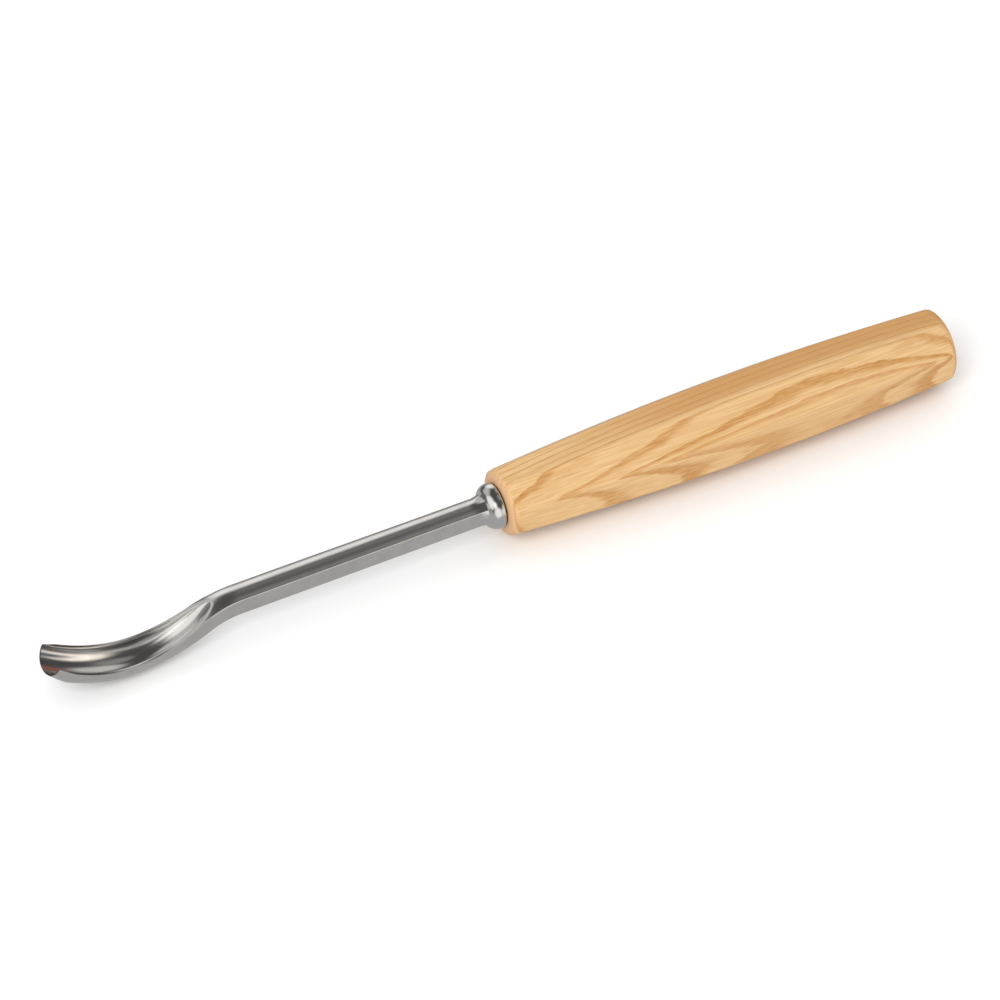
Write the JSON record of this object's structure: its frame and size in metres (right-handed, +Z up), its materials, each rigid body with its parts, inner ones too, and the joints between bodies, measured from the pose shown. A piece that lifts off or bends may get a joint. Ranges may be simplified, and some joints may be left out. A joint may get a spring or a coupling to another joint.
{
  "type": "carving gouge",
  "caption": "Spoon-bent wood carving gouge: deep curved channel blade, slim crowned shank, domed bolster, barrel-shaped octagonal ash handle.",
  "frame": {"origin": "on the bench the tool lies on, under the middle of its length, below the tool axis", "axes": "+X along the tool axis from the cutting edge towards the butt of the handle, +Y to the side, +Z up out of the channel"},
  "size_m": [0.2478, 0.0218, 0.0217],
  "materials": {
    "tool_steel": "hardened tool steel, polished channel and bolster, finely ground shank",
    "ferrule_steel": "plain turned steel, hidden in the handle",
    "ash_wood": "straight-grained ash, satin clear lacquer"
  },
  "bodies": {
    "root": {"gouge_blade": "tool_steel", "internal_ferrule": "ferrule_steel", "handle": "ash_wood"}
  },
  "joints": []
}
